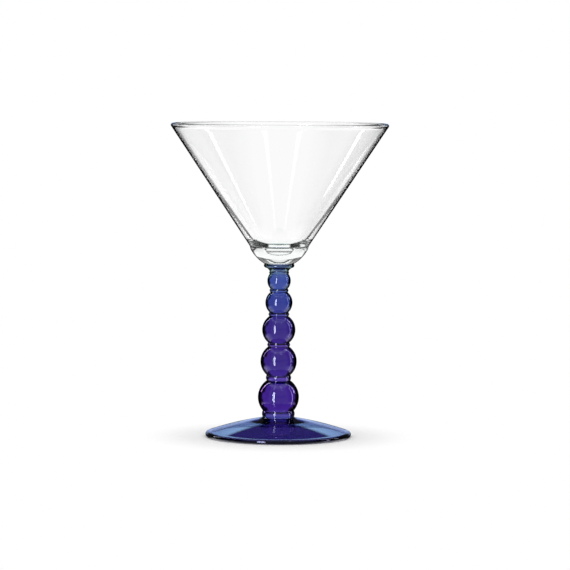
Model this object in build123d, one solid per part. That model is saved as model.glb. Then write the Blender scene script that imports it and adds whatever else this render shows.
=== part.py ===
from build123d import *
import os
from math import copysign, cos, radians, sin, sqrt, tan

# A stemmed cocktail glass in millimetres: a clear conical bowl, fused to a coloured stem of five
# graduated balls, fused to a coloured foot. It stands on z = 0 and every piece is turned about Z.

# The foot
foot_diameter = 78.5
foot_edge_height = 2.8  # the rounded outer edge, top to bottom
foot_ring_width = 1.6  # the flat ring it stands on
foot_hollow_height = 8.0  # the shallow dome under the foot
foot_dome_radius = 9.4  # where the slope of the top meets the sweep up to the collar
foot_dome_height = 10.1
foot_dome_bulge = 0.6
foot_waist_step = 0.15  # how far the waist under the base collar stands out from the stem joint
foot_sweep_height = 10.9
foot_sweep_bulge = 0.08
foot_height = 14.1  # up to the joint with the stem
base_collar_bulge = 0.4
foot_ring_round = 0.6
foot_waist_round = 0.2

# The stem, from the foot up: the radius of each ball, then the radius and length of the neck above it
base_collar_radius = 8.35
stem_steps = [
    (11.05, 6.70, 3.5),
    (9.75, 6.05, 2.8),
    (8.95, 5.45, 2.7),
    (7.30, 5.00, 2.6),
    (6.30, 5.45, 1.9),
]
neck_fillet = 0.5
flare_height = 2.1  # from the last neck out to the disc
flare_bulge = 0.7
disc_radius = 8.2
disc_height = 2.2
disc_round = 0.6

# The bowl
rim_diameter = 117.0
rim_bead_diameter = 2.3
bowl_height = 75.3  # from the joint with the stem to the top of the rim
bowl_half_angle = 33.5  # of the outside, measured from the axis
bowl_shoulder_height = 9.2  # where the cone ends and the rounded base begins
bowl_shoulder_drop = 1.3  # the short, nearly straight step under the cone
bowl_shoulder_lean = 0.2  # how far that step leans in
bowl_base_bulge = 0.75
lip_depth = 2.0  # from the top of the rim to where the inside narrows to the plain wall
wall_at_rim = 1.6  # measured level, not square to the wall
wall_at_floor = 3.2
wall_bow = 0.75
bowl_floor_thickness = 6.8
floor_edge_height = 8.5  # how far the rounded floor rises before the wall starts
floor_round = 8.0
shoulder_round = 0.8
lip_round = 1.0


def turned(outline, rounds):
    """Round the named corners of a closed outline at positive X and revolve it about the Z axis."""
    face = make_face(outline)
    for corner, radius in rounds:
        face = fillet(face.vertices().sort_by_distance(corner)[0], radius)
    return revolve(Plane.XZ * face, axis=Axis.Z)


def ball_rise(ball_radius, cut_radius):
    """Height from the centre of a ball to where it has narrowed to cut_radius."""
    return sqrt(ball_radius**2 - cut_radius**2)


def cap(middle_height, edge):
    """Half the section of a shallow ball-shaped dish, from its middle on the axis out to its edge."""
    rise = edge[1] - middle_height
    radius = (edge[0] ** 2 + rise**2) / (2 * rise)
    half_way = edge[0] / 2
    height = middle_height + radius - copysign(sqrt(radius**2 - half_way**2), radius)
    return ThreePointArc((0, middle_height), (half_way, height), edge)


def make_foot():
    """A shallow domed disc with a rounded edge, hollow underneath, rising to the base collar."""
    edge = foot_edge_height / 2
    edge_centre = foot_diameter / 2 - edge
    ring_inside = edge_centre - foot_ring_width
    outline = Polyline((0, foot_height), (0, foot_hollow_height))
    outline += cap(foot_hollow_height, (ring_inside, 0))
    outline += Line((ring_inside, 0), (edge_centre, 0))
    outline += ThreePointArc((edge_centre, 0), (edge_centre + edge, edge), (edge_centre, 2 * edge))
    dome_end = (foot_dome_radius, foot_dome_height)
    outline += SagittaArc((edge_centre, 2 * edge), dome_end, -foot_dome_bulge)
    waist = (base_collar_radius + foot_waist_step, foot_sweep_height)
    outline += SagittaArc(dome_end, waist, foot_sweep_bulge)
    collar_top = (base_collar_radius, foot_height)
    outline += SagittaArc(waist, collar_top, -base_collar_bulge)
    outline += Line(collar_top, (0, foot_height))
    return turned(outline, [((ring_inside, 0), foot_ring_round), (waist, foot_waist_round)])


def stem_height():
    """Height of the joint between stem and bowl."""
    height = foot_height
    below = base_collar_radius
    for ball_radius, neck_radius, neck_length in stem_steps:
        height += ball_rise(ball_radius, below) + ball_rise(ball_radius, neck_radius) + neck_length
        below = neck_radius
    return height + flare_height + disc_height


def make_stem():
    """Five balls of falling size with short necks between them, under a thin disc."""
    height = foot_height
    below = base_collar_radius
    outline = Polyline((0, stem_height()), (0, foot_height), (below, foot_height))
    corners = []
    for ball_radius, neck_radius, neck_length in stem_steps:
        centre = height + ball_rise(ball_radius, below)
        top = centre + ball_rise(ball_radius, neck_radius)
        outline += ThreePointArc((below, height), (ball_radius, centre), (neck_radius, top))
        height = top + neck_length
        outline += Line((neck_radius, top), (neck_radius, height))
        corners += [(neck_radius, top), (neck_radius, height)]
        below = neck_radius
    disc_foot = (disc_radius, height + flare_height)
    outline += SagittaArc((below, height), disc_foot, flare_bulge)
    outline += Polyline(disc_foot, (disc_radius, stem_height()), (0, stem_height()))
    rounds = [(corner, neck_fillet) for corner in corners]
    return turned(outline, rounds + [(disc_foot, disc_round)])


def make_bowl():
    """A straight-sided cone with a thick rounded base and a beaded rim."""
    base = stem_height()
    top = base + bowl_height
    slope = tan(radians(bowl_half_angle))
    bead = rim_bead_diameter / 2
    bead_centre = (rim_diameter / 2 - bead, top - bead)
    across = (cos(radians(bowl_half_angle)), -sin(radians(bowl_half_angle)))
    wall_top = (bead_centre[0] + bead * across[0], bead_centre[1] + bead * across[1])
    shoulder = base + bowl_shoulder_height
    shoulder_radius = wall_top[0] - (wall_top[1] - shoulder) * slope
    step = (shoulder_radius - bowl_shoulder_lean, shoulder - bowl_shoulder_drop)
    floor = base + bowl_floor_thickness
    wall_foot_height = floor + floor_edge_height
    wall_foot_radius = wall_top[0] - (wall_top[1] - wall_foot_height) * slope - wall_at_floor
    lip_height = top - lip_depth
    lip_radius = wall_top[0] - (wall_top[1] - lip_height) * slope - wall_at_rim
    inner_top = (bead_centre[0] - bead * across[0], bead_centre[1] - bead * across[1])
    outline = Polyline((0, floor), (0, base), (disc_radius, base))
    outline += SagittaArc((disc_radius, base), step, -bowl_base_bulge)
    outline += Line(step, (shoulder_radius, shoulder))
    outline += Line((shoulder_radius, shoulder), wall_top)
    outline += ThreePointArc(wall_top, (bead_centre[0], top), inner_top)
    outline += Line(inner_top, (lip_radius, lip_height))
    outline += SagittaArc((lip_radius, lip_height), (wall_foot_radius, wall_foot_height), wall_bow)
    outline += cap(floor, (wall_foot_radius, wall_foot_height))
    rounds = [
        ((lip_radius, lip_height), lip_round),
        ((wall_foot_radius, wall_foot_height), floor_round),
        ((shoulder_radius, shoulder), shoulder_round),
        (step, shoulder_round),
    ]
    return turned(outline, rounds)


os.makedirs("parts", exist_ok=True)
for name, make in (("foot", make_foot), ("stem", make_stem), ("bowl", make_bowl)):
    piece = make()
    export_step(piece, f"parts/{name}.step")
    box = piece.bounding_box()
    print(name, "volume", round(piece.volume), "from", box.min, "to", box.max)
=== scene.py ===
# %% [markdown]
# # A martini glass in clear and cobalt blue glass
#
# The real object is three gathers of soda-lime glass, fused while hot: a clear conical bowl, a
# cobalt blue stem of five balls that grow towards the table, and a domed cobalt blue foot. Every
# part of it was turned, so every part is one outline spun round the same upright axis.
#
# The frame already holds the glass as measured solids. This lesson lays finer glass over them: the
# same outlines at the same sizes, spun in enough steps that light bends through them without
# facets. Then it mixes the two glasses and builds the small white studio they stand in.

# %% The frame
import bpy
from math import asin, ceil, copysign, cos, pi, radians, sin, sqrt, tan
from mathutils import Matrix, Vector


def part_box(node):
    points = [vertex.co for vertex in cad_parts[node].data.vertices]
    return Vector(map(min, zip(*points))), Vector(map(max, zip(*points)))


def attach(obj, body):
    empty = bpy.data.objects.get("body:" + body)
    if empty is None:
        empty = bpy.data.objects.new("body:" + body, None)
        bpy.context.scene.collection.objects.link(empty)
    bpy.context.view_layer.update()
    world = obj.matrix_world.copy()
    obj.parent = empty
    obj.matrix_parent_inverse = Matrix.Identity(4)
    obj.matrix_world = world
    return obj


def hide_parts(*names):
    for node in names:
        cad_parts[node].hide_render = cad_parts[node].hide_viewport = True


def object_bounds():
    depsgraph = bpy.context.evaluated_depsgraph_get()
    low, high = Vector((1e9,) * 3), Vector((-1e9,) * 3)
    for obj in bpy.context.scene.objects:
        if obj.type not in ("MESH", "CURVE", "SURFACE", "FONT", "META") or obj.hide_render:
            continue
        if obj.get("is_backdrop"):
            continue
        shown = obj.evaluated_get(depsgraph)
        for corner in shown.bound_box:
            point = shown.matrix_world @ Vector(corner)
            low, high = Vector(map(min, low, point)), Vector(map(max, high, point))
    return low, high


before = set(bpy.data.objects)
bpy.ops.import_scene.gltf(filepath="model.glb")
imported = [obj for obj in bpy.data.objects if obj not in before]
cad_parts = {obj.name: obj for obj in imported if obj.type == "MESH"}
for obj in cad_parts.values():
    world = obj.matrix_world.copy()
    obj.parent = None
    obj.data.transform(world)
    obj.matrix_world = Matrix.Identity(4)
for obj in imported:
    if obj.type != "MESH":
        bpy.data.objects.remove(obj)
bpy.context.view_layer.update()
MM = 0.001
foot_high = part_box("foot")[1]
stem_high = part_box("stem")[1]
bowl_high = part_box("bowl")[1]

# %% [markdown]
# ## Drawing an outline by hand
#
# A turned shape starts as half of its section: a chain of edges beside the axis. A pen draws it
# here, and the pen is one selected vertex. A straight run is an extrude of that vertex. A curve
# object with a Screw modifier would also do, but extrudes and spins keep every corner exactly where
# it was put, and the finished chain is an ordinary mesh that can still be bevelled.

# %% The pen and its straight runs
TURNS = 224  # steps round the axis
ARC_STEP = radians(4.5)


def start_outline(name, radius, height):
    """Make an object whose mesh is one selected vertex at that radius and height, in millimetres."""
    bpy.ops.object.select_all(action="DESELECT")
    bpy.ops.mesh.primitive_plane_add(size=MM)
    piece = bpy.context.object
    piece.name = piece.data.name = name
    bpy.ops.object.mode_set(mode="EDIT")
    bpy.ops.mesh.select_mode(type="VERT")
    bpy.ops.mesh.select_all(action="SELECT")
    bpy.ops.mesh.merge(type="CENTER")
    bpy.ops.transform.translate(value=(radius * MM, 0, height * MM))
    return [radius, height]


def line_to(pen, radius, height, pieces=1):
    """Extrude the pen's vertex in a straight line, in that many equal runs."""
    step = ((radius - pen[0]) / pieces * MM, 0, (height - pen[1]) / pieces * MM)
    for _ in range(pieces):
        bpy.ops.mesh.extrude_region_move(TRANSFORM_OT_translate={"value": step})
    pen[:] = [radius, height]


print("one turn has", TURNS, "steps, and an arc a step every 4.5 degrees")

# %% [markdown]
# A round run is a spin of the pen's vertex about the centre of the arc, so the balls of the stem
# are true balls. The arc is given by its end and by its bulge, the distance it stands out from the
# straight line, because that is what callipers and a straight edge measure on a real glass. The
# number of steps follows from the angle, so that small beads and long sweeps are equally smooth.


# %% Arcs
def arc_to(pen, radius, height, bulge, finest=ARC_STEP):
    """Spin the pen's vertex to a point. bulge is how far the arc stands out, to the right of its way."""
    run, rise = radius - pen[0], height - pen[1]
    chord = sqrt(run**2 + rise**2)
    arc_radius = (chord**2 / 4 + bulge**2) / (2 * abs(bulge))
    angle = 2 * asin(min(1, chord / (2 * arc_radius)))
    if abs(bulge) > arc_radius:
        angle = 2 * pi - angle
    side = copysign(1, bulge)
    back = (arc_radius - abs(bulge)) * side
    centre = (pen[0] + run / 2 - rise / chord * back, pen[1] + rise / 2 + run / chord * back)
    bpy.ops.mesh.spin(
        steps=max(3, ceil(angle / finest)),
        angle=angle * side,
        center=(centre[0] * MM, 0, centre[1] * MM),
        axis=(0, 1, 0),
    )
    pen[:] = [radius, height]


def dish_to(pen, radius, height, finest):
    """Draw a ball-shaped dish between the axis and a circle round it, whichever way the pen goes."""
    out, rise = radius - pen[0], abs(height - pen[1])
    ball = (out**2 + rise**2) / (2 * rise)
    bulge = ball * (1 - cos(asin(abs(out) / ball) / 2))
    arc_to(pen, radius, height, copysign(bulge, height - pen[1]), finest)


# %% [markdown]
# Hot glass has no sharp corners: surface tension draws each one into a small round. The corners of
# the finished outline are bevelled while it is still a flat chain, which gives a clean round all the
# way about the axis. Then the chain is spun once round, its seam and its ends on the axis are
# merged, the normals are turned outward, and the faces are smoothed except across real corners.


# %% Rounding and turning
def round_corners(corners, size):
    """Bevel the outline's vertices that lie at these places, in millimetres."""
    mesh = bpy.context.edit_object
    bpy.ops.mesh.select_all(action="DESELECT")
    bpy.ops.object.mode_set(mode="OBJECT")
    for vertex in mesh.data.vertices:
        place = (vertex.co.x / MM, vertex.co.z / MM)
        vertex.select = any(abs(place[0] - r) + abs(place[1] - z) < 0.01 for r, z in corners)
    print("rounding", sum(v.select for v in mesh.data.vertices), "corners by", size, "mm")
    bpy.ops.object.mode_set(mode="EDIT")
    bpy.ops.mesh.bevel(affect="VERTICES", offset=size * MM, segments=5, clamp_overlap=False)


def turn():
    """Spin the drawn outline once round the upright axis, close it and smooth it."""
    bpy.ops.mesh.select_all(action="SELECT")
    bpy.ops.mesh.spin(steps=TURNS, angle=2 * pi, center=(0, 0, 0), axis=(0, 0, 1))
    bpy.ops.mesh.select_all(action="SELECT")
    bpy.ops.mesh.remove_doubles(threshold=0.002 * MM)
    bpy.ops.mesh.normals_make_consistent(inside=False)
    bpy.ops.object.mode_set(mode="OBJECT")
    bpy.ops.object.shade_smooth_by_angle(angle=radians(40))
    piece = bpy.context.object
    box = [round(c / MM, 2) for c in piece.dimensions]
    print(piece.name, "is", box, "mm with", len(piece.data.polygons), "faces")
    return piece


# %% [markdown]
# ## The blue foot
#
# The foot is pressed and then spun, which leaves a shallow dome on top, a dish underneath and a
# narrow ring that the glass stands on. The dish matters as much as the dome: light comes in through
# one and leaves through the other, so their slopes decide where the foot is pale and where it is
# deep violet. The pen starts at the middle of the dish and works outward, round the edge and up.
#
# On the real glass the foot and the stem are one hot gather, with no line between them. So they are
# one piece here, though the frame carries them as two.

# %% The foot's outline
foot_radius = foot_high.x / MM
foot_edge = 2.8
ring_width = 1.6
hollow_height = 8.0
dome_end = (9.4, 10.1)
dome_bulge = 0.6
waist = (8.5, 10.9)
sweep_bulge = 0.08
collar_top = (8.35, foot_high.z / MM)
collar_bulge = 0.4
joint = stem_high.z / MM
GAP = 0.005  # half the hair's breadth left between the blue glass and the clear

edge_centre = foot_radius - foot_edge / 2
ring_inside = (edge_centre - ring_width, 0)
pen = start_outline("blue_stem_and_foot", 0, hollow_height)
dish_to(pen, *ring_inside, radians(0.8))
line_to(pen, edge_centre, 0)
arc_to(pen, edge_centre, foot_edge, foot_edge / 2, finest=radians(9))
arc_to(pen, *dome_end, dome_bulge, finest=radians(0.35))
arc_to(pen, *waist, -sweep_bulge)
arc_to(pen, *collar_top, collar_bulge, finest=radians(9))
print("the dome climbs", round(dome_end[1] - foot_edge, 1), "mm from the edge to the collar")

# %% [markdown]
# ## Five balls
#
# The stem is pressed in a split mould as a string of balls, each a true ball cut short by the necks
# above and below. From the bottom up they shrink from 22 to 13 mm across. A neck is a short rounded
# ring with a fine groove on each side, and the grooves are what draws a crisp dark line round the
# stem at every joint. Each ball is drawn as two arcs of the same circle, so both necks fit it.

# %% The balls' outline
BALL_STEPS = [  # ball radius, neck radius above it, neck length
    (11.05, 6.70, 3.5),
    (9.75, 6.05, 2.8),
    (8.95, 5.45, 2.7),
    (7.30, 5.00, 2.6),
    (6.30, 5.45, 1.9),
]
GROOVE = 0.4
RING_BULGE = 0.5


def ball_arc(pen, ball, radius, height):
    """Draw an arc of a ball of that radius from the pen to a point."""
    chord = sqrt((radius - pen[0]) ** 2 + (height - pen[1]) ** 2)
    arc_to(pen, radius, height, ball - sqrt(ball**2 - chord**2 / 4))


def cap_height(ball, radius):
    """How far above a ball's middle its surface is that far from the axis."""
    return sqrt(ball**2 - radius**2)


corners = [collar_top, waist]
foot_of_ball, below = collar_top[1], collar_top[0]
for ball, neck, neck_length in BALL_STEPS:
    middle = foot_of_ball + cap_height(ball, below)
    if len(corners) > 2:
        inner = below - GROOVE
        arc_to(pen, inner, middle - cap_height(ball, inner), RING_BULGE, finest=radians(9))
        corners.append(tuple(pen))
    ball_arc(pen, ball, ball, middle)
    ball_arc(pen, ball, neck - GROOVE, middle + cap_height(ball, neck - GROOVE))
    corners.append(tuple(pen))
    foot_of_ball, below = middle + cap_height(ball, neck) + neck_length, neck
    print("ball", round(2 * ball, 1), "mm across, middle at", round(middle, 1), "mm")

# %% [markdown]
# ## The disc under the bowl
#
# Above the last neck the blue glass flares into a small rounded disc, and the bowl was dropped onto
# it while both were soft. The disc ends in a flat face. A gap of a hundredth of a millimetre, too
# thin to see, keeps the blue glass and the clear from sharing a face, because light can't tell
# which glass it is in when two faces lie in one place.

# %% The disc, and one turn of the whole blue piece
DISC_RADIUS = 8.2
DISC_BULGE = 0.85
DISC_FACE_INSET = 0.5  # from the disc's edge in to its flat face
FLARE_INSET = 1.2  # where the flare ends, in from the disc's edge and down from the joint
FLARE_DROP = 2.3
FLARE_BULGE = 0.3
FOOT_RING_ROUND = 0.5
GROOVE_ROUND = 0.2

arc_to(pen, BALL_STEPS[-1][1] - GROOVE, foot_of_ball, RING_BULGE * 0.6, finest=radians(9))
corners.append(tuple(pen))
arc_to(pen, DISC_RADIUS - FLARE_INSET, joint - FLARE_DROP, -FLARE_BULGE)
arc_to(pen, DISC_RADIUS - DISC_FACE_INSET, joint - GAP, DISC_BULGE, finest=radians(9))
line_to(pen, 0, joint - GAP)
round_corners([ring_inside], FOOT_RING_ROUND)
round_corners(corners, GROOVE_ROUND)
blue = turn()

# %% [markdown]
# ## The clear bowl
#
# The bowl is blown into a mould: a straight cone that opens at 33.5 degrees from upright, above a
# rounder base with a low shoulder. The wall is 1.6 mm at the lip and thickens towards the floor,
# because the glass runs down while it is hot. The inside ends in a round floor that rises steeply at
# its edge, and that edge is what the eye reads as two dark crescents low in the bowl.

# %% Sizes of the bowl, in millimetres
rim_radius = bowl_high.x / MM
top = bowl_high.z / MM
bead = 2.3 / 2
half_angle = radians(33.5)
shoulder = joint + 9.2
floor = joint + 6.8
floor_edge = floor + 8.5
wall_at_rim = 1.6
wall_at_floor = 3.2
wall_bow = 0.75
lip_depth = 2.0
shoulder_lean = 0.2
shoulder_drop = 1.3
base_bulge = 0.75
floor_round = 8.0
corner_round = 0.6

bead_centre = (rim_radius - bead, top - bead)
wall_top = (bead_centre[0] + bead * cos(half_angle), bead_centre[1] - bead * sin(half_angle))
inner_top = (bead_centre[0] - bead * cos(half_angle), bead_centre[1] + bead * sin(half_angle))


def outside(height):
    """Radius of the cone's outside at a height."""
    return wall_top[0] - (wall_top[1] - height) * tan(half_angle)


print("the cone is", round(2 * outside(shoulder), 1), "mm across at its shoulder")

# %% [markdown]
# The outside is drawn from the joint up: a gently bulged base, the step of the shoulder, and the
# straight cone. The rim is a fire-polished bead, a half round a little thicker than the wall, which
# is what gives a real lip its bright line. The inside comes down from it, straight for the depth of
# the lip and then in one long shallow bow to the edge of the floor.

# %% The bowl's outline, and its turn
shoulder_place = (outside(shoulder), shoulder)
step_place = (outside(shoulder) - shoulder_lean, shoulder - shoulder_drop)
lip = (outside(top - lip_depth) - wall_at_rim, top - lip_depth)
wall_foot = (outside(floor_edge) - wall_at_floor, floor_edge)
pen = start_outline("clear_bowl", 0, joint + GAP)
line_to(pen, DISC_RADIUS, joint + GAP)
arc_to(pen, *step_place, base_bulge)
line_to(pen, *shoulder_place)
line_to(pen, *wall_top, pieces=12)
arc_to(pen, *inner_top, bead, finest=radians(12))
line_to(pen, *lip)
arc_to(pen, *wall_foot, -wall_bow, finest=radians(0.3))
dish_to(pen, 0, floor, radians(2.5))
round_corners([wall_foot], floor_round)
round_corners([lip, shoulder_place, step_place], corner_round)
bowl = turn()

# %% [markdown]
# ## Building with nodes
#
# Both glasses, the floor and the studio are node trees, so a few small helpers come first. One adds
# a node with its settings and links. The others are the three mixes used again and again: a smooth
# step, a blend of two colours, and a ramp with several stops.


# %% Colours and nodes
def linear(hex_colour):
    """An sRGB hex colour as linear red, green, blue and alpha."""
    parts = [int(hex_colour[i : i + 2], 16) / 255 for i in (1, 3, 5)]
    return [c / 12.92 if c <= 0.04045 else ((c + 0.055) / 1.055) ** 2.4 for c in parts] + [1]


def new_tree(owner):
    """An empty node tree on a material or world."""
    owner.use_nodes = True
    owner.node_tree.nodes.clear()
    return owner.node_tree


def add(tree, kind, inputs=None, **settings):
    """Add one node. inputs maps a socket's name or number to a value or to another node's socket."""
    node = tree.nodes.new(kind)
    for name, value in settings.items():
        setattr(node, name, value)
    for name, value in (inputs or {}).items():
        if isinstance(value, bpy.types.NodeSocket):
            tree.links.new(value, node.inputs[name])
        else:
            node.inputs[name].default_value = value
    return node


def maths(tree, operation, *values):
    """One sum on numbers or sockets."""
    return add(tree, "ShaderNodeMath", dict(enumerate(values)), operation=operation).outputs[0]


def step(tree, value, start, end, low=0.0, high=1.0):
    """low until value reaches start, high from end on, and a smooth step between them."""
    limits = {"Value": value, "From Min": start, "From Max": end, "To Min": low, "To Max": high}
    return add(tree, "ShaderNodeMapRange", limits, interpolation_type="SMOOTHSTEP").outputs[0]


def blend(tree, share, first, second):
    """The first colour where share is 0 and the second where it is 1."""
    return add(tree, "ShaderNodeMix", {0: share, 6: first, 7: second}, data_type="RGBA").outputs[2]


def ramp_of(tree, value, low, high, stops):
    """A colour ramp along a value from low to high. stops are (value, red-green-blue)."""
    along = add(tree, "ShaderNodeMapRange", {"Value": value, "From Min": low, "From Max": high}).outputs[0]
    node = add(tree, "ShaderNodeValToRGB", {0: along})
    elements = node.color_ramp.elements
    elements.remove(elements[1])
    for number, (place, colour) in enumerate(stops):
        position = (place - low) / (high - low)
        element = elements[0] if number == 0 else elements.new(position)
        element.position = position
        element.color = (*colour, 1)
    return node.outputs["Color"]


BLACK = (0, 0, 0, 1)
WHITE = (1, 1, 1, 1)
print("cobalt in linear light:", [round(c, 3) for c in linear("#7C59CB")[:3]])

# %% [markdown]
# ## What every glass shares
#
# Glass is a clear surface that bends light at an index of 1.52, with no roughness, round a body that
# takes light up with depth. Three things are asked wherever light meets it: how high on the glass,
# how much the surface turns away, and whether the light arrives from inside.
#
# Product glass is lit from behind between black boards, so the edges that turn away go dark. Here that
# dark is painted shade: where the surface leans away enough, a share of it is painted as a black
# mirror, and that painted shade draws the outline.


# %% Glass
def meet(tree):
    """Height, turning away, from inside and which way up, wherever light meets the glass."""
    place = add(tree, "ShaderNodeTexCoord").outputs["Object"]
    height = add(tree, "ShaderNodeSeparateXYZ", {0: place}).outputs["Z"]
    away = add(tree, "ShaderNodeLayerWeight", {"Blend": 0.5}).outputs["Facing"]
    geometry = add(tree, "ShaderNodeNewGeometry").outputs
    upward = add(tree, "ShaderNodeSeparateXYZ", {0: geometry["Normal"]}).outputs["Z"]
    return height, away, geometry["Backfacing"], upward


def glass(tree, inside, tint, edge, painted_inner_share, edge_colour, painted_inner_colour, gloss, absorbed, density):
    """Glass with a painted dark share at its edges outside (edge), and a painted dark or violet share for
    light within.
    """
    # painted shade and painted reflection: where the share is high, the clear glass turns into a dark or
    # violet mirror
    share = add(tree, "ShaderNodeMix", {0: inside, 2: edge, 3: painted_inner_share}).outputs[0]
    dark = blend(tree, inside, edge_colour, painted_inner_colour)
    outer_share = maths(tree, "MULTIPLY", share, maths(tree, "SUBTRACT", 1.0, inside))
    sockets = {
        "Base Color": blend(tree, share, tint, dark),
        "Metallic": share,
        "Specular Tint": blend(tree, outer_share, gloss, BLACK),
        "Roughness": 0.0,
        "IOR": 1.52,
        "Transmission Weight": 1.0,
    }
    surface = add(tree, "ShaderNodeBsdfPrincipled", sockets)
    depth = add(tree, "ShaderNodeVolumeAbsorption", {"Color": absorbed, "Density": density})
    add(tree, "ShaderNodeOutputMaterial", {"Surface": surface.outputs[0], "Volume": depth.outputs[0]})


# %% [markdown]
# ## Clear glass for the bowl
#
# Blown soda-lime glass has the faintest green in depth, seen only where the base is thick. Its
# outline is painted dark, a painted shade where the surface turns nearly side on. A second, thinner
# painted dark line runs inside the first. It stands for the inner wall: it is painted in a narrow band
# of angles, for light already inside the glass, and it fades towards the lip as the wall thins. Low on
# the bowl the shine is held back, so the crescents of the floor stay dark.

# %% Clear glass
crystal = bpy.data.materials.new("blown_clear_soda_lime_glass")  # blown in a mould, fire-polished
tree = new_tree(crystal)
height, away, inside, upward = meet(tree)
# painted shade: a thin black line for the inner wall, in a narrow band of turning away
line = maths(tree, "MULTIPLY", step(tree, away, 0.232, 0.242), step(tree, away, 0.258, 0.268, 1, 0))
line = maths(tree, "MULTIPLY", line, step(tree, upward, -0.1, 0.1, 1, 0))
line = maths(tree, "MULTIPLY", line, step(tree, height, (joint + 13) * MM, (joint + 15) * MM))
line = maths(tree, "MULTIPLY", line, step(tree, height, 122 * MM, 150 * MM, 0.95, 0.3))
shine = blend(tree, step(tree, height, (joint + 14) * MM, (joint + 20) * MM), (0.12, 0.12, 0.12, 1), WHITE)
# painted shade: the bowl's dark outline, a black mirror share where the surface turns side on
edge = step(tree, away, 0.75, 0.87, 0, 0.95)
glass(tree, inside, WHITE, edge, line, BLACK, BLACK, shine, linear("#F4FCF8"), 12)
bowl.data.materials.append(crystal)
print(crystal.name, "has", len(tree.nodes), "nodes")

# %% [markdown]
# ## Cobalt glass for the stem and foot
#
# A little cobalt oxide passes blue and violet light and stops green and yellow, so the absorption is
# blue violet. Absorption alone doesn't give the whole range of this glass: it is steel blue under the
# bowl and a redder violet from the middle ball down. So the surface carries a soft tint by height.

# %% Tint up the stem
cobalt = bpy.data.materials.new("pressed_cobalt_soda_lime_glass")  # pressed in a mould, fire-polished
tree = new_tree(cobalt)
height, away, inside, upward = meet(tree)
TINTS = [  # height in millimetres, tint
    (0, (0.5, 0.75, 0.95)),
    (8, (0.5, 0.75, 0.95)),
    (15, (0.6, 0.25, 0.93)),
    (24, (0.6, 0.25, 0.93)),
    (33, (0.4, 0.28, 0.8)),
    (42, (0.38, 0.2, 0.7)),
    (59, (0.3, 0.2, 0.65)),
    (73, (0.17, 0.32, 0.68)),
    (85, (0.2, 0.4, 0.74)),
    (92, (0.5, 1, 0.65)),
]
tint = ramp_of(tree, height, 0, 170 * MM, [(h * MM, colour) for h, colour in TINTS])
print("tints from", TINTS[0][0], "to", TINTS[-1][0], "mm up")

# %% [markdown]
# The foot shows two colours with a clean line between them, and both are painted light and shade.
# Facing the eye it is painted deep violet, nearly black, a painted shade standing for light that has
# to come up through the whole dome. To the left and right, where the surface turns away, it is painted
# pale steel blue, a painted light standing for light slipping through a thin skin of glass. How far
# the surface turns away, less an amount that grows with height, says which. The thin edge at the table
# is painted nearly black as painted shade, the small waist under the collar pale as painted light, and
# light arriving from inside the foot pale as well.

# %% Tint of the foot
# painted light and shade of the foot: deep violet where it faces the eye, pale steel blue where it turns
# away
lean = maths(tree, "MULTIPLY_ADD", height, -4.5, away)
pale = blend(tree, step(tree, away, 0.78, 0.92), (0.2, 0.5, 0.9, 1), (0.6, 0.85, 1, 1))
# painted shade: nearly black deep violet where the dome faces the eye
dome = blend(tree, step(tree, lean, 0.650, 0.685), (0.0012, 0.0005, 0.03, 1), pale)
# painted light: the small waist under the collar pale
dome = blend(tree, step(tree, height, 9.8 * MM, 10.1 * MM), dome, (0.25, 0.55, 0.95, 1))
# painted shade: the thin edge at the table nearly black
dome = blend(tree, step(tree, height, 2.3 * MM, 2.9 * MM), (0.003, 0.002, 0.03, 1), dome)
# painted light: pale for light arriving from inside the foot
dome = blend(tree, inside, dome, (0.75, 0.92, 1, 1))
tint = blend(tree, step(tree, height, 10 * MM, 13 * MM), dome, tint)
print("pale from a lean of 0.65 to 0.685")

# %% [markdown]
# The balls have broad dark edges, painted as a nearly black mirror share where the surface turns away:
# a painted shade standing for the black boards that a solid ball of glass gathers at its rim. For light
# inside each ball a violet mirror share is painted, a painted reflection standing for light that can't
# get out. The foot is left out of both, since its own outline already goes dark. The shine of blue
# glass is a little blue.

# %% Cobalt glass
# painted shade: the balls' broad dark edges, a nearly black mirror share where the surface turns away
edge = maths(tree, "MULTIPLY", step(tree, away, 0.38, 0.58), step(tree, height, 12 * MM, 14 * MM, 0, 0.93))
# painted reflection: a violet mirror share for light inside each ball
painted_inner_share = maths(tree, "MULTIPLY", step(tree, away, 0.26, 0.36), step(tree, height, 14 * MM, 16 * MM, 0, 0.8))
shine = blend(tree, step(tree, height, 9 * MM, 11 * MM), (0.6, 0.6, 0.95, 1), (0.85, 0.9, 1, 1))
# colour of the painted violet reflection inside the balls
violet = (0.3, 0.16, 0.65, 1)
glass(tree, inside, tint, edge, painted_inner_share, linear("#06041C"), violet, shine, linear("#7C59CB"), 150)
blue.data.materials.append(cobalt)
print(cobalt.name, "has", len(tree.nodes), "nodes")

# %% [markdown]
# ## Joining the pieces to the frame
#
# The real glass is one rigid body, so both pieces ride the frame's only body. The blue piece stands
# for the frame's stem and foot together, and the clear one for its bowl.

# %% Joining
for piece, nodes, slot in ((blue, ("stem", "foot"), "cobalt_glass"), (bowl, ("bowl",), "clear_glass")):
    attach(piece, "root")
    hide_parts(*nodes)
    print(piece.name, "replaces", ", ".join(nodes))

# %% [markdown]
# ## The camera
#
# A long lens from well back, a little above the rim and looking slightly down, is how catalogues
# show stemware: the rim closes to a thin ellipse and the foot opens just enough to show its dome.

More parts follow.
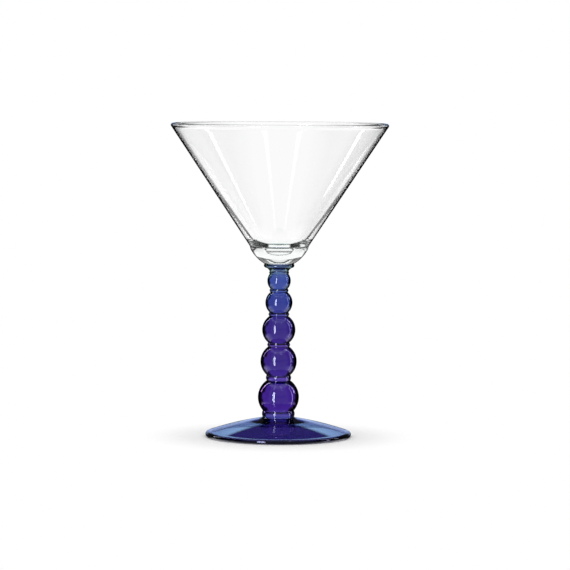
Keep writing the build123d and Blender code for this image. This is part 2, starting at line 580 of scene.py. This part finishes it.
# %% Camera
scene = bpy.context.scene
scene.view_settings.view_transform = "Standard"
bpy.ops.object.select_all(action="DESELECT")
camera_aside, camera_back, camera_up = 3.2, 1630, 197  # millimetres from the foot's middle
aim_up = 81.9
camera_roll = 0.34  # degrees
bpy.ops.object.camera_add(location=(camera_aside * MM, -camera_back * MM, camera_up * MM))
camera = bpy.context.object
camera.data.lens = 191.9
camera.data.sensor_width = 36
aim = Vector((camera_aside * MM, 0, aim_up * MM))
camera.rotation_euler = (aim - camera.location).to_track_quat("-Z", "Y").to_euler()
camera.rotation_euler.rotate_axis("Z", radians(camera_roll))
camera.data.clip_start = 0.05
camera.data.clip_end = 20
scene.camera = camera
print("camera", round((aim - camera.location).length, 2), "m away")

# %% [markdown]
# ## The table
#
# The glass stands on a sheet of matt white paper that turns pure white 75 mm out from its middle,
# so only a soft shadow shows round the foot. Light that has been bent or mirrored by the glass goes
# straight through the sheet to the studio, as if the sheet were a lit white panel with the studio's
# black boards standing right at its edge.

# %% Table
bpy.ops.object.select_all(action="DESELECT")
bpy.ops.mesh.primitive_circle_add(vertices=96, radius=1.5, fill_type="TRIFAN", location=(0, 0, 0))
table = bpy.context.object
table.name = "table"
paper = bpy.data.materials.new("matt_white_paper")
tree = new_tree(paper)
place = add(tree, "ShaderNodeTexCoord").outputs["Object"]
distance = add(tree, "ShaderNodeVectorMath", {0: place}, operation="LENGTH").outputs["Value"]
rays = add(tree, "ShaderNodeLightPath").outputs
matt = add(tree, "ShaderNodeBsdfDiffuse", {"Color": linear("#FAFAFA")}).outputs[0]
lit = add(tree, "ShaderNodeEmission", {"Color": WHITE, "Strength": 1.0}).outputs[0]
through = add(tree, "ShaderNodeBsdfTransparent").outputs[0]
shade_end, pure_white = 42 * MM, 75 * MM  # from the middle of the foot
share = maths(tree, "MULTIPLY", rays["Is Camera Ray"], step(tree, distance, shade_end, pure_white))
sheet = add(tree, "ShaderNodeMixShader", {0: share, 1: matt, 2: lit}).outputs[0]
sheet = add(tree, "ShaderNodeMixShader", {0: rays["Is Glossy Ray"], 1: sheet, 2: through}).outputs[0]
add(tree, "ShaderNodeOutputMaterial", {"Surface": sheet})
table.data.materials.append(paper)
table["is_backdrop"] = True
print("table", round(table.dimensions.x, 1), "m across")

# %% [markdown]
# ## The studio
#
# Glass has almost no look of its own: it shows the room it stands in. This room is a ring of white
# panels and black boards. Behind the glass is a wide white panel, with a black board on each side of
# it to draw the dark edges. Behind the viewer it is nearly white at eye level and grey low down. The
# boards change with height: they stand widest apart just under eye level and close in overhead. Near
# the table only the right one is left.
#
# Each ring is written as grey levels by bearing, in degrees: 0 is straight behind the glass,
# negative is to the left, and 180 is behind the viewer.

# %% The rings of panels
MIDDLE = [
    (-180, 0.95), (-130, 0.9), (-115, 0.04), (-104, 0.04), (-98, 0.9), (-82, 0.9), (-76, 0.04),
    (-46, 0.04), (-38, 1), (38, 1), (46, 0.03), (112, 0.03), (130, 0.9), (180, 0.95),
]
UPPER = [
    (-180, 0.95), (-130, 0.9), (-115, 0.01), (-104, 0.01), (-98, 0.9), (-82, 0.9), (-76, 0.01),
    (-42, 0.01), (-35, 1), (35, 1), (42, 0.01), (112, 0.01), (130, 0.9), (180, 0.95),
]
LOW = [
    (-180, 0.5), (-75, 0.6), (-66, 0.2), (-60, 0.95), (-36, 0.95), (-29, 1), (29, 1), (37, 0.03),
    (66, 0.03), (75, 0.6), (112, 0.5), (125, 0.95), (145, 0.95), (155, 0.5), (180, 0.5),
]
HIGH = [
    (-180, 0.8), (-125, 0.8), (-112, 0.01), (-32, 0.01), (-24, 1), (24, 1), (32, 0.01),
    (112, 0.01), (125, 0.8), (180, 0.8),
]
WALLS = [(-180, 0.38), (-130, 0.35), (-115, 0.03), (112, 0.03), (130, 0.35), (180, 0.38)]
SKIRTING = [
    (-180, 0.3), (-130, 0.3), (-115, 0.03), (-32, 0.03), (-15, 0.8), (15, 0.8), (32, 0.03),
    (112, 0.03), (130, 0.3), (180, 0.3),
]
TABLE_TOP = [(-180, 0.4), (-125, 0.4), (-80, 1.4), (80, 1.4), (125, 0.4), (180, 0.4)]


def grey(level):
    """A plain grey, brighter than 1 for a lamp."""
    return (level, level, level, 1)


def ring(tree, bearing, levels, colour=(1, 1, 1)):
    """A ring of panels by bearing, all of one colour."""
    stops = [(angle, [level * part for part in colour]) for angle, level in levels]
    return ramp_of(tree, bearing, -180, 180, stops)


world = bpy.data.worlds.new("studio")
scene.world = world
tree = new_tree(world)
way = add(tree, "ShaderNodeTexCoord").outputs["Generated"]
part = add(tree, "ShaderNodeSeparateXYZ", {0: way}).outputs
bearing = maths(tree, "DEGREES", maths(tree, "ARCTAN2", part["X"], part["Y"]))
elevation = maths(tree, "DEGREES", maths(tree, "ARCSINE", part["Z"]))
seen = blend(tree, step(tree, elevation, -1, 1), ring(tree, bearing, MIDDLE), ring(tree, bearing, UPPER))
seen = blend(tree, step(tree, elevation, -18, -12), ring(tree, bearing, LOW), seen)
seen = blend(tree, step(tree, elevation, 16, 22), seen, ring(tree, bearing, HIGH))
seen = blend(tree, step(tree, elevation, -60, -50), grey(0.9), seen)
seen = blend(tree, step(tree, elevation, 60, 70), seen, grey(0.8))
print("the widest panel spans 76 degrees")

# %% [markdown]
# The front of the glass mirrors a second set, so that its colour isn't washed out by its own shine.
# The walls are dark, with a pale blue skirting low behind the glass that the sides of the foot pick
# up. The table top is bright beyond the glass and dimmer on the viewer's side, and the ceiling is
# nearly white. Narrow lamps stand among them. The brightest is over the left shoulder of the viewer
# and puts the slim upright highlight on every ball; the others make bright streaks on the bowl.

# %% The lamps
LAMPS = [  # bearing, width, lowest and highest elevation in degrees, colour
    (-153, 13, -23, 31, (14, 14.5, 16, 1)),
    (93, 6, -40, 40, (3.5, 3.6, 4, 1)),
    (-55, 5, 10, 75, grey(6)),
    (70, 5, 10, 75, grey(5)),
    (-145, 8, 45, 80, grey(2.4)),
    (153, 8, 45, 80, grey(2.4)),
]
pale_blue = ring(tree, bearing, SKIRTING, (0.6, 0.8, 1.25))
mirrored = blend(tree, step(tree, elevation, -1, 2), ring(tree, bearing, WALLS), pale_blue)
mirrored = blend(tree, step(tree, elevation, 7, 17), mirrored, ring(tree, bearing, WALLS))
mirrored = blend(tree, step(tree, elevation, 48, 58), mirrored, grey(0.9))
mirrored = blend(tree, step(tree, elevation, -28, -16), ring(tree, bearing, TABLE_TOP), mirrored)
for middle, width, low, high, colour in LAMPS:
    across = maths(tree, "COMPARE", bearing, middle, width / 2)
    upright = maths(tree, "COMPARE", elevation, (low + high) / 2, (high - low) / 2)
    mirrored = blend(tree, maths(tree, "MULTIPLY", across, upright), mirrored, colour)
print(len(LAMPS), "lamps")

# %% [markdown]
# Everything else in the room, the backdrop and the light on the table, is plain white. Light is
# allowed to cross many surfaces before it is given up, since a path through a ball, a neck and the
# foot can meet a dozen of them.

# %% The room
rays = add(tree, "ShaderNodeLightPath").outputs
room = blend(tree, rays["Is Transmission Ray"], mirrored, seen)
room = blend(tree, rays["Is Glossy Ray"], WHITE, room)
backdrop = add(tree, "ShaderNodeBackground", {"Color": room, "Strength": 1.0})
add(tree, "ShaderNodeOutputWorld", {"Surface": backdrop.outputs[0]})
scene.cycles.max_bounces = 24
scene.cycles.transmission_bounces = 24
scene.cycles.glossy_bounces = 8
print("studio has", len(tree.nodes), "nodes")

# %% [markdown]
# ## Sizes
#
# Last, the height and width of the finished glass are printed. They should agree with the measured
# solids to a few hundredths of a millimetre, since both come from the same outlines.

low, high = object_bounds()
print("visual height", round(high.z / MM, 2), "mm, width", round((high.x - low.x) / MM, 2), "mm")
